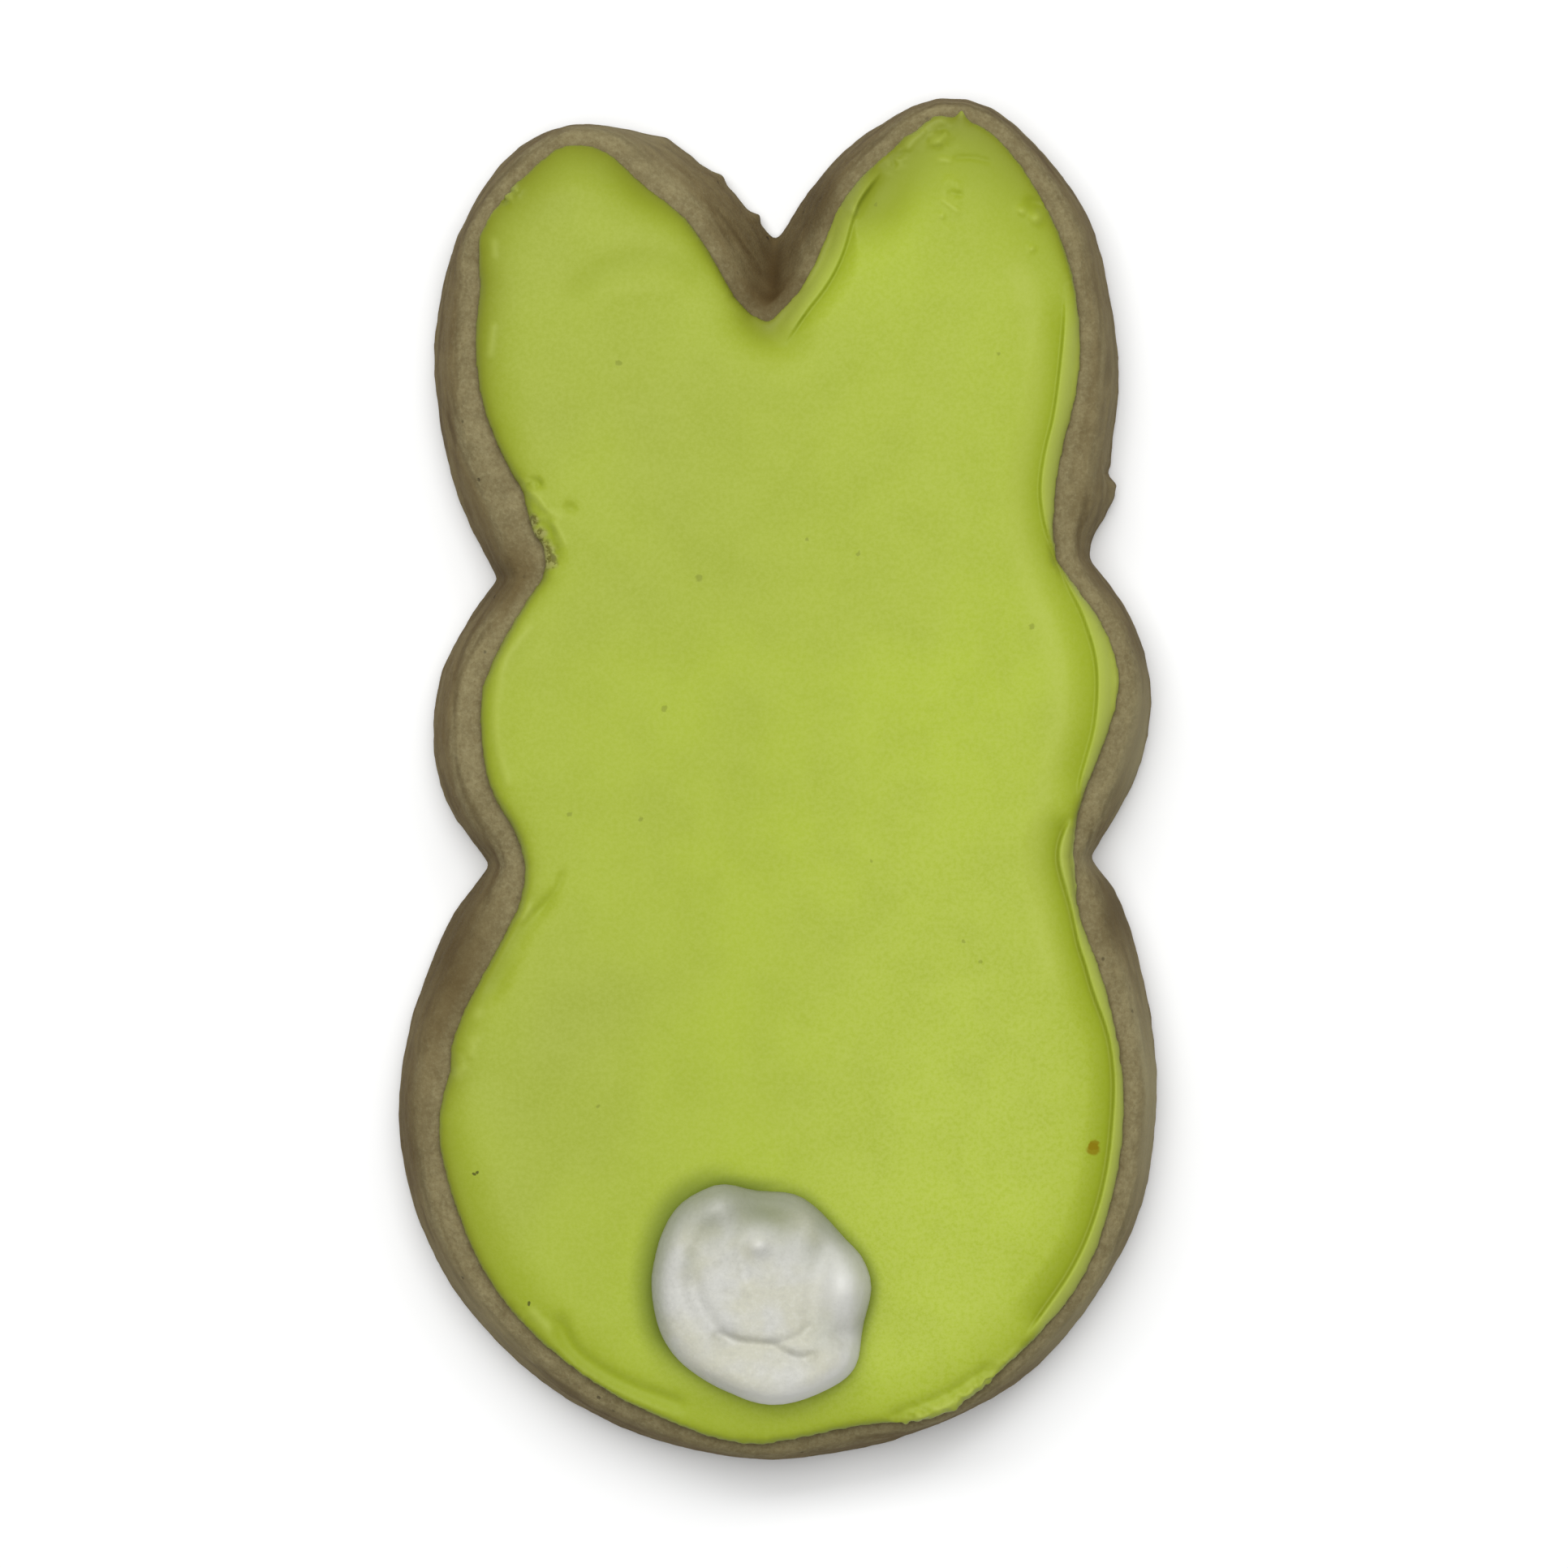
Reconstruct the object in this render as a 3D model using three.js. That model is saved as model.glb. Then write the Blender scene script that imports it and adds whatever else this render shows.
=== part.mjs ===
// A sugar cookie cut as a sitting rabbit, seen from the rabbit's back: the baked biscuit,
// the layer of green icing spread on it, and the dollop of white icing that is its tail.
// Millimetres, +Z up. The cookie lies flat with its ears toward +Y, and the origin is the
// middle of its length and width, on the underside.

import * as THREE from 'three';

// Driving dimensions
const cookieWidth = 60.3;
const cookieLength = 108.1;
const cookieThickness = 9;
const icingThickness = 1.9;
const tailHeight = 4.2;
const thinnestIcing = 0.75;

// Fineness of the facets: steps along the outline, closer together at the notches
const outlineStep = 2.3;
const notchStep = 0.6;
const stepGrowth = 0.25;
const directionPasses = 8;
const tailSectors = 60;
const wobbleWaves = [
  { waves: 9, size: 0.1, turn: 0.4 },
  { waves: 23, size: 0.08, turn: 2.1 },
  { waves: 41, size: 0.06, turn: 4.4 },
];

// Points round the rabbit, counter-clockwise from the left neck: the foot of the side wall,
// x and y, then the edge of the icing across the rim from it, x and y. The notches come
// first, and each lobe runs from one notch to the next.
const leftNeck = [-22.9, -6.9, -20, -6.9];
const rightNeck = [24.8, -6.3, 23, -6.2];
const rightEarRoot = [24.7, 17.5, 22, 17.2];
const earNotch = [-0.2, 42.8, -0.8, 36];
const leftEarRoot = [-22.3, 15.8, -18.8, 15.7];

const body = [
  leftNeck,
  [-24.4, -8.9, -20.3, -9.5],
  [-25.9, -10.9, -21.7, -12.5],
  [-28.7, -17.7, -24.5, -17.7],
  [-29.4, -20.3, -25.7, -20.5],
  [-29.9, -22.9, -25.9, -23.2],
  [-30.1, -27, -26.9, -26.8],
  [-28.9, -34.2, -25.6, -33.3],
  [-25.2, -41.4, -22.7, -39.8],
  [-19.3, -47.6, -17.5, -45.6],
  [-11, -52.2, -10.3, -50.1],
  [-1.6, -54.1, -2.4, -52.6],
  [6.7, -53.3, 6.3, -51.2],
  [13.5, -51, 13.1, -50.2],
  [19.8, -47.5, 18.6, -45.9],
  [25.2, -41.2, 23.7, -40.2],
  [28.9, -34, 26.4, -33.3],
  [30.1, -25, 27.4, -25.1],
  [29.1, -16, 25.9, -16.5],
  [26.9, -9.2, 23.6, -10],
  rightNeck,
];
const rightCheek = [
  rightNeck,
  [26.7, -3.3, 23.8, -2.3],
  [28.8, 0.9, 25.5, 1.9],
  [29.6, 7.6, 27, 7.5],
  [28, 12.9, 25.9, 11.7],
  rightEarRoot,
];
const rightEar = [
  rightEarRoot,
  [24.9, 18.9, 21.8, 19.1],
  [26.5, 21.9, 22, 22.7],
  [26.4, 25.1, 22.4, 25.4],
  [27.1, 32, 23.8, 31.9],
  [26.3, 38.6, 23.6, 38],
  [24.7, 44.5, 22.1, 43.2],
  [21, 49.8, 19.3, 48.3],
  [16.7, 53.4, 16, 51.6],
  [12.5, 54, 12.8, 52.2],
  [6.7, 51.1, 8.1, 49],
  [2.8, 47.2, 4.9, 45.5],
  [1.3, 45, 3.4, 41.9],
  [0.6, 43.8, 1.7, 38.6],
  earNotch,
];
const leftEar = [
  earNotch,
  [-0.8, 43.5, -2.8, 37.3],
  [-1.6, 44.5, -4.6, 40.3],
  [-4.4, 47.6, -7.2, 44.2],
  [-8.2, 50.4, -10.5, 46.8],
  [-12.3, 51.7, -13.3, 49.4],
  [-17, 51.9, -16.7, 50.1],
  [-21.3, 49.6, -19.7, 47.9],
  [-25.2, 43.7, -23.5, 43.1],
  [-26.7, 38.9, -23.5, 39],
  [-27.3, 34.2, -23.9, 34.2],
  [-27, 29, -23.3, 29.4],
  [-25.4, 22.2, -20.9, 23],
  leftEarRoot,
];
const leftCheek = [
  leftEarRoot,
  [-24.6, 12.6, -21.6, 11],
  [-26.8, 8.1, -23.3, 7.2],
  [-27.4, 2.6, -23.4, 2.8],
  [-26.2, -2.2, -22.6, -1.1],
  [-24.3, -5, -20.6, -4.6],
  leftNeck,
];
const lobes = [body, rightCheek, rightEar, leftEar, leftCheek];

// The biscuit's section: share of the rim crossed, inset of the foot, and share of the
// thickness, first round the rabbit and then in the notch between the ears, where the dough
// slopes evenly
const cookieSection = [
  [0, 0.9, 0, 0],
  [0, 0.3, 0.05, 0.04],
  [0, 0, 0.16, 0.12],
  [0.1, 0, 0.42, 0.27],
  [0.22, 0, 0.65, 0.43],
  [0.36, 0, 0.82, 0.59],
  [0.52, 0, 0.92, 0.75],
  [0.76, 0, 0.965, 0.93],
  [1, 0, 1, 1],
];
const notchReach = 9;

// The icing's section: inset from its edge, share of the thickness, and share of the relief
const icingSection = [
  [0.35, 0, 1],
  [0, 0.28, 1],
  [0.12, 0.55, 1],
  [0.5, 0.8, 1],
  [1.1, 0.91, 1],
  [1.8, 0.95, 1],
  [2.6, 0.98, 1],
  [3.4, 1, 0.9],
  [4.2, 1, 0.5],
  [5, 1, 0],
];

// Where the icing is torn off the biscuit, at the root of the left ear
const tears = [
  { at: [-19.1, 17.7], depth: 1, reach: 1.6 },
  { at: [-20.4, 22], depth: 0.6, reach: 2.2 },
];

// Lips that the knife pushed out along the icing's edge, by the crease on their inner side
const lipCreases = [
  [[22.4, 38], [21.6, 31.3], [20.8, 25.8], [20.7, 20.5]],
  [[23.2, 14.6], [24.9, 9.8], [25, 5.4], [24, 0.8]],
  [[22.3, -5], [23.3, -10.8], [24.7, -16.8], [26.3, -22.3], [26.2, -27.7], [24.8, -34.7],
    [21.9, -40.4], [19.6, -43.6]],
  [[1.6, 35.6], [4.6, 39.9], [5.8, 43.4], [7.6, 46.9]],
  [[-8.6, -49.1], [-13, -47.5], [-16.4, -45]],
];
const lipProfiles = [
  { height: -0.65, width: 2.4 },
  { height: -0.25, width: 0.5 },
];

// Relief of the icing near its edge: the lips' creases, and the places where it falls off
const icingRelief = [
  ...lipCreases.flatMap((path) => lipProfiles.map((profile) => ({ path, ...profile }))),
  { path: [[-3.2, 36.2], [-0.4, 33.6], [1.4, 33.6]], height: -0.8, width: 2.8 },
  { path: [[-4, 39.8], [-7.2, 44.2], [-10.5, 46.8]], height: -0.4, width: 2.2 },
  { path: [[-11.5, 50.2], [-15.5, 50.8], [-19.7, 48], [-22.3, 44.5]], height: -0.8, width: 2.8 },
  { path: [[-24, 41], [-24, 33], [-22.4, 27], [-19.5, 19.5]], height: -0.35, width: 1.8 },
  { path: [[7.5, 48.4], [12.8, 52], [16.5, 51], [20.4, 46.4]], height: -0.9, width: 3.3 },
  { path: [[-22.9, 8], [-23.2, 4], [-22, -1]], height: -0.3, width: 1 },
  { path: [[-20, -7], [-21.5, -12], [-24.5, -18], [-26.6, -26]], height: -0.45, width: 1.8 },
  { path: [[-26.5, -27], [-23, -38.5], [-17, -45]], height: -0.4, width: 1.8 },
  { path: [[-10, -49.5], [0, -52], [12.5, -49], [19.5, -44.6]], height: -0.6, width: 2.6 },
  { path: [[11, 49.8], [13.5, 50.6]], height: 0.3, width: 1.2 },
  { path: [[-22.2, 45], [-20.8, 46.2]], height: 0.25, width: 0.9 },
];

// The tail: points of its uneven outline, its middle, and its section as a share of the
// outline's reach and of the height
const tailOutline = [
  [-0.4, -49.2],
  [3.8, -48.1],
  [6.2, -46.1],
  [6.7, -43.1],
  [7.4, -39.8],
  [6.7, -37.7],
  [5.1, -35.9],
  [1.8, -32.8],
  [-1.6, -32.3],
  [-4.8, -31.9],
  [-8, -33.7],
  [-9.7, -37.6],
  [-9.8, -41.6],
  [-8.5, -44.9],
  [-5, -47.7],
];
const tailMiddle = [-1.4, -40.8];
const tailSection = [
  [0.92, 0],
  [0.98, 0.1],
  [1, 0.24],
  [0.985, 0.4],
  [0.95, 0.56],
  [0.9, 0.71],
  [0.84, 0.83],
  [0.77, 0.92],
  [0.69, 0.98],
  [0.6, 1],
  [0.5, 1],
  [0.4, 1],
  [0.3, 1],
  [0.2, 1],
  [0.1, 1],
];

// Relief of the tail: the swirl's groove, the fold under its crown and the valley beside it,
// the lobes of the ring round it, a hollow and a nub
const tailRelief = [
  { path: [[-5.2, -34.4], [-6.6, -37.4], [-6.4, -41], [-4.4, -43.6]], height: -0.5, width: 0.85 },
  { path: [[-4.4, -43.7], [-1.2, -44.4], [1.4, -45.4], [3, -45]], height: -0.6, width: 0.7 },
  { path: [[3.3, -35.6], [3.6, -38.4], [2.7, -42.6]], height: -0.55, width: 1 },
  { path: [[5, -43], [6.6, -44.2]], height: -0.5, width: 1.1 },
  { path: [[5.2, -39.2], [5.6, -40.4]], height: 0.8, width: 1.3 },
  { path: [[-5.4, -33.6], [-3.9, -32.9]], height: 0.8, width: 1.4 },
  { path: [[-8.1, -36.4], [-8.3, -38]], height: 0.3, width: 1.5 },
  { path: [[-2.4, -33], [0.8, -33.2]], height: -1.5, width: 1.9 },
  { path: [[-1.5, -36.5]], height: 0.5, width: 0.8 },
];

// Distance from a point to a path of straight stretches, or to its only point.
function distanceToPath(path, x, y) {
  const point = new THREE.Vector2(x, y);
  let least = point.distanceTo(new THREE.Vector2(...path[0]));
  for (let i = 1; i < path.length; i++) {
    const start = new THREE.Vector2(...path[i - 1]);
    const stretch = new THREE.Vector2(...path[i]).sub(start);
    const share = point.clone().sub(start).dot(stretch) / stretch.lengthSq();
    const nearest = start.addScaledVector(stretch, THREE.MathUtils.clamp(share, 0, 1));
    least = Math.min(least, nearest.distanceTo(point));
  }
  return least;
}

// Height that smooth ridges and grooves along their paths add at a point.
function reliefAt(features, x, y) {
  let height = 0;
  for (const feature of features) {
    const away = distanceToPath(feature.path, x, y) / feature.width;
    height += feature.height * Math.exp(-away * away);
  }
  return height;
}

// Shares of a lobe's length, from one notch to just short of the next.
function stationsAlong(length) {
  const reached = [0];
  while (reached.at(-1) < length / 2) {
    reached.push(reached.at(-1) + Math.min(outlineStep, notchStep + stepGrowth * reached.at(-1)));
  }
  const firstHalf = reached.map((distance) => distance / reached.at(-1) / 2);
  const secondHalf = firstHalf.slice(1, -1).reverse().map((share) => 1 - share);
  return [...firstHalf, ...secondHalf];
}

// The foot of the wall and the edge of the icing, as matching lists of points brought to
// the driving width and length round the origin.
function sampleOutlines() {
  const foot = [];
  const edge = [];
  for (const lobe of lobes) {
    const curveThrough = (points) => new THREE.CatmullRomCurve3(points, false, 'centripetal');
    const footCurve = curveThrough(lobe.map(([x, y]) => new THREE.Vector3(x, y, 0)));
    const edgeCurve = curveThrough(lobe.map(([, , x, y]) => new THREE.Vector3(x, y, 0)));
    for (const share of stationsAlong(footCurve.getLength())) {
      const place = footCurve.getUtoTmapping(share);
      foot.push(footCurve.getPoint(place));
      edge.push(edgeCurve.getPoint(place));
    }
  }
  const box = new THREE.Box3().setFromPoints(foot);
  const middle = box.getCenter(new THREE.Vector3());
  const extent = box.getSize(new THREE.Vector3());
  const fit = new THREE.Vector3(cookieWidth / extent.x, cookieLength / extent.y, 1);
  for (const point of [...foot, ...edge]) {
    point.sub(middle).multiply(fit);
  }
  return { foot, edge };
}

// Unit directions into a closed outline at each of its points, evened out round corners.
function inwardDirections(outline) {
  const count = outline.length;
  const around = (list, i) => list[(i + count) % count];
  let directions = outline.map((point, i) => {
    const before = around(outline, i - 1);
    const after = around(outline, i + 1);
    return new THREE.Vector3(before.y - after.y, after.x - before.x, 0).normalize();
  });
  for (let pass = 0; pass < directionPasses; pass++) {
    directions = directions.map((direction, i) => direction.clone()
      .add(around(directions, i - 1))
      .add(around(directions, i + 1))
      .normalize());
  }
  return directions;
}

// A closed solid through rings of equal count, from the lowest ring up.
function loft(rings) {
  const count = rings[0].length;
  const corners = rings.flat();
  const indices = [];
  for (let level = 0; level + 1 < rings.length; level++) {
    for (let i = 0; i < count; i++) {
      const next = (i + 1) % count;
      const low = level * count;
      const high = low + count;
      indices.push(low + i, low + next, high + next, low + i, high + next, high + i);
    }
  }
  const top = corners.length - count;
  for (const [a, b, c] of THREE.ShapeUtils.triangulateShape(rings[0], [])) {
    indices.push(c, b, a);
  }
  for (const [a, b, c] of THREE.ShapeUtils.triangulateShape(rings.at(-1), [])) {
    indices.push(top + a, top + b, top + c);
  }
  const geometry = new THREE.BufferGeometry().setFromPoints(corners);
  geometry.setIndex(indices);
  geometry.computeVertexNormals();
  return geometry;
}

// How far the baked wall stands in or out at a share of the way round.
function wallWobble(round) {
  let inset = 0;
  for (const wave of wobbleWaves) {
    inset += wave.size * Math.sin(2 * Math.PI * wave.waves * round + wave.turn);
  }
  return inset;
}

// How far the icing's edge is torn back at a point of it.
function tornDepth(point) {
  let depth = 0;
  for (const tear of tears) {
    const away = distanceToPath([tear.at], point.x, point.y) / tear.reach;
    depth += tear.depth * Math.exp(-away * away);
  }
  return depth;
}

// The biscuit: a wall that leans in from its foot and rounds over to the flat top.
function makeCookie({ foot, edge }) {
  const inward = inwardDirections(foot);
  return loft(cookieSection.map(([rimShare, footInset, heightShare, notchHeightShare]) => {
    const wobbleShare = 4 * rimShare * (1 - rimShare);
    return foot.map((start, i) => {
      const wobble = wobbleShare * wallWobble(i / foot.length);
      const point = start.clone().lerp(edge[i], rimShare);
      point.addScaledVector(inward[i], footInset + wobble);
      const away = distanceToPath([earNotch.slice(0, 2)], start.x, start.y) / notchReach;
      const notchShare = Math.exp(-away * away);
      point.z = cookieThickness * THREE.MathUtils.lerp(heightShare, notchHeightShare, notchShare);
      return point;
    });
  }));
}

// The icing: a rounded edge round a level middle, thinner and creased toward the edge.
function makeIcing({ edge }) {
  const inward = inwardDirections(edge);
  return loft(icingSection.map(([edgeInset, thicknessShare, reliefShare]) =>
    edge.map((start, i) => {
      const point = start.clone().addScaledVector(inward[i], edgeInset + tornDepth(start));
      const relief = reliefShare * reliefAt(icingRelief, point.x, point.y);
      const thickness = Math.max(icingThickness + relief, thinnestIcing);
      point.z = cookieThickness + thicknessShare * thickness;
      return point;
    })));
}

// The tail: a plump dollop with a swirl pressed into its top.
function makeTail() {
  const points = tailOutline.map(([x, y]) => new THREE.Vector3(x, y, 0));
  const outline = new THREE.CatmullRomCurve3(points, true).getSpacedPoints(tailSectors).slice(0, -1);
  const middle = new THREE.Vector3(...tailMiddle, 0);
  const foot = cookieThickness + icingThickness;
  return loft(tailSection.map(([reach, heightShare]) => outline.map((edge) => {
    const point = middle.clone().lerp(edge, reach);
    const relief = heightShare * reliefAt(tailRelief, point.x, point.y);
    point.z = foot + heightShare * (tailHeight + relief);
    return point;
  })));
}

function addPiece(group, name, geometry, color, roughness) {
  const material = new THREE.MeshStandardMaterial({ color, roughness, metalness: 0 });
  const mesh = new THREE.Mesh(geometry, material);
  mesh.name = name;
  group.add(mesh);
}

const outlines = sampleOutlines();
const icedCookie = new THREE.Group();
icedCookie.name = 'iced_cookie';
addPiece(icedCookie, 'cookie', makeCookie(outlines), 0x8c8059, 0.85);
addPiece(icedCookie, 'icing', makeIcing(outlines), 0xafc04a, 0.45);
addPiece(icedCookie, 'tail', makeTail(), 0xd6d7ca, 0.6);

export default icedCookie;
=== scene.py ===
"""An iced sugar cookie cut as a sitting rabbit: biscuit, spread green icing and a white tail."""

import math

import bmesh
import bpy
import numpy as np
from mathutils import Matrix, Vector, kdtree, noise


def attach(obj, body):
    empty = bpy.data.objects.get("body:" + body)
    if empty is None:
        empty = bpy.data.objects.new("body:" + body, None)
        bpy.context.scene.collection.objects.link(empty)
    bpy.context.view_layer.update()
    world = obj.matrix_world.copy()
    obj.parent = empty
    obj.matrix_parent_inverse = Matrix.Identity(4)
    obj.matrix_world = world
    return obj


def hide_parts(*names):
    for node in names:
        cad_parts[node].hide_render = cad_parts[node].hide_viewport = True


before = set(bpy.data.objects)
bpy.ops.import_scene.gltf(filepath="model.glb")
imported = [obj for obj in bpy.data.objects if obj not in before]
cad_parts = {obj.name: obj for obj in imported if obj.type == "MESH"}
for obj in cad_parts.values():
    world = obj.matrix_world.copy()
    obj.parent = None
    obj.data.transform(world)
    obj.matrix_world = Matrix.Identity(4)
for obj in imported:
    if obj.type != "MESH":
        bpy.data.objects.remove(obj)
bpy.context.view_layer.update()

MM = 0.001  # the pieces are worked out in millimetres, all around them in metres
BISCUIT_TOP = 9.0
ICING_TOP = 10.9
ICING_THICKNESS = ICING_TOP - BISCUIT_TOP

# The heights at which the outlines of the icing and of the tail are taken
ICING_RIM = BISCUIT_TOP + 0.3
TAIL_RIM = ICING_TOP + 1.2

ROUND_EDGE = 0.8  # how broadly the upper edges of the icing and the tail are rounded
LIGHT = 1.25  # how much brighter than its own colour a level white face comes out
FLOOR_COLOR = (0.892, 0.897, 0.897)

# ---------------------------------------------------------------- shapes of the icing

# Lips that the knife pushed out. The path is the crease on the lip's inner side, with the lip
# to its left. The crest is how high the lip stands. The fall is how far the icing drops to the
# crease, and the slope over what breadth. Pale is how strongly the lip is paler, and crease how
# strongly its crease is darkened with painted shade; start is the length over which the lip begins.
LIPS = [
    dict(
        path=[(22.5, 39.4), (22.5, 37.6), (22.4, 35.1), (22.0, 31.3), (21.6, 28.4), (20.9, 25.8),
              (20.5, 23.0), (20.7, 21.0), (21.2, 18.9), (22.1, 16.6), (22.9, 14.9), (23.7, 13.4),
              (24.3, 11.8), (24.9, 9.8), (25.1, 7.8), (25.0, 5.4), (24.7, 3.4), (24.1, 1.4),
              (23.6, -0.4), (23.5, -2.6)],
        crest=1.5, fall=0.95, slope=3.7, pale=1.0, crease=0.15, start=5,
    ),
    dict(
        path=[(23.2, -2.6), (22.3, -4.2), (21.9, -5.9), (22.1, -7.3), (22.6, -9.1), (23.1, -10.8),
              (23.6, -13.2), (24.1, -14.6), (24.7, -16.8), (25.9, -19.9), (26.3, -22.3),
              (26.4, -24.6), (26.2, -27.7), (25.9, -30.3), (25.4, -32.7), (24.8, -34.7),
              (24.0, -36.8), (22.9, -38.9), (21.9, -40.4), (20.4, -42.5), (19.2, -44.2)],
        crest=1.4, fall=1.2, slope=3.4, pale=1.0, crease=0.45, start=2,
    ),
    dict(
        path=[(0.3, 33.6), (0.9, 34.6), (2.3, 36.7), (3.6, 38.3), (4.6, 39.9), (5.4, 41.8), (5.8, 43.4),
              (6.3, 45.0), (7.1, 46.3), (8.4, 47.9)],
        crest=1.5, fall=0.85, slope=1.9, pale=0.7, crease=0.2, start=3,
    ),
]

# Broad falls and hollows of the icing: a path, the height along it and the reach to each side
ICING_FALLS = [
    dict(path=[(20.3, 45.0), (22.8, 38.0), (22.2, 28.0), (21.2, 21.0), (22.6, 17.0), (25.2, 11.0),
               (25.8, 6.0), (24.4, -1.5), (23.0, -6.0), (24.9, -16.0), (26.6, -23.0),
               (26.0, -32.0), (22.6, -40.0), (19.5, -44.6)], height=-0.4, width=3.4),
    dict(path=[(19.5, -44.6), (12.5, -49.0), (0.0, -52.0), (-10.0, -49.5), (-17.0, -45.0)],
         height=-0.28, width=2.2),
    # the groove along the lower left edge, and the roll outside it
    dict(path=[(-17.2, -42.6), (-16.7, -44.1), (-15.9, -45.3), (-14.2, -46.5), (-12.4, -47.5),
               (-10.6, -48.3), (-7.6, -49.3)], height=-0.36, width=0.65),
    dict(path=[(-18.4, -43.6), (-17.0, -45.6), (-15.0, -47.2), (-12.0, -48.7), (-8.6, -50.0)],
         height=0.22, width=0.7),
    dict(path=[(-17.0, -45.0), (-23.0, -38.5), (-26.5, -27.0)], height=-0.5, width=1.8),
    dict(path=[(-2.0, 36.2), (-0.6, 34.8), (0.8, 34.8)], height=-1.0, width=2.2),
    dict(path=[(7.0, 43.6), (9.0, 47.4)], height=-0.8, width=2.6),
    dict(path=[(-3.6, 39.2), (-7.0, 44.6), (-11.0, 47.6)], height=-0.55, width=2.0),
    dict(path=[(-9.0, 46.6), (-12.0, 50.0), (-16.0, 51.6), (-20.5, 48.6), (-23.6, 44.0)],
         height=-1.0, width=3.6),
    dict(path=[(-23.8, 43.0), (-24.2, 38.0), (-24.0, 33.0), (-22.4, 27.0)], height=-0.5, width=2.2),
    dict(path=[(8.0, 49.0), (13.2, 52.4), (18.5, 50.0), (22.0, 45.5)], height=-1.0, width=5.4),
    dict(path=[(-22.4, 27.0), (-19.5, 19.5), (-19.3, 14.0)], height=-0.3, width=1.8),
    dict(path=[(-22.9, 8.0), (-23.2, 4.0), (-22.0, -1.0)], height=-0.3, width=1.0),
    dict(path=[(-22.6, -15.0), (-24.5, -18.5), (-26.6, -26.0)], height=-0.35, width=1.5),
    # the hollow beside the left neck
    dict(path=[(-18.0, -9.5), (-18.6, -10.3), (-19.4, -11.2), (-20.2, -12.3), (-20.8, -13.8),
               (-21.4, -15.2), (-22.4, -17.0)], height=-0.34, width=0.8),
]

# The line where the icing bends over toward the lips of the right side, and catches the light
SHOULDER = [(18.9, 40.2), (20.1, 36.3), (20.4, 32.5), (19.6, 27.0), (18.4, 21.5), (19.7, 15.9),
            (22.0, 9.6), (22.3, 4.8), (21.0, -1.0), (20.3, -4.0), (20.2, -9.0), (21.8, -16.0)]
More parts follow.
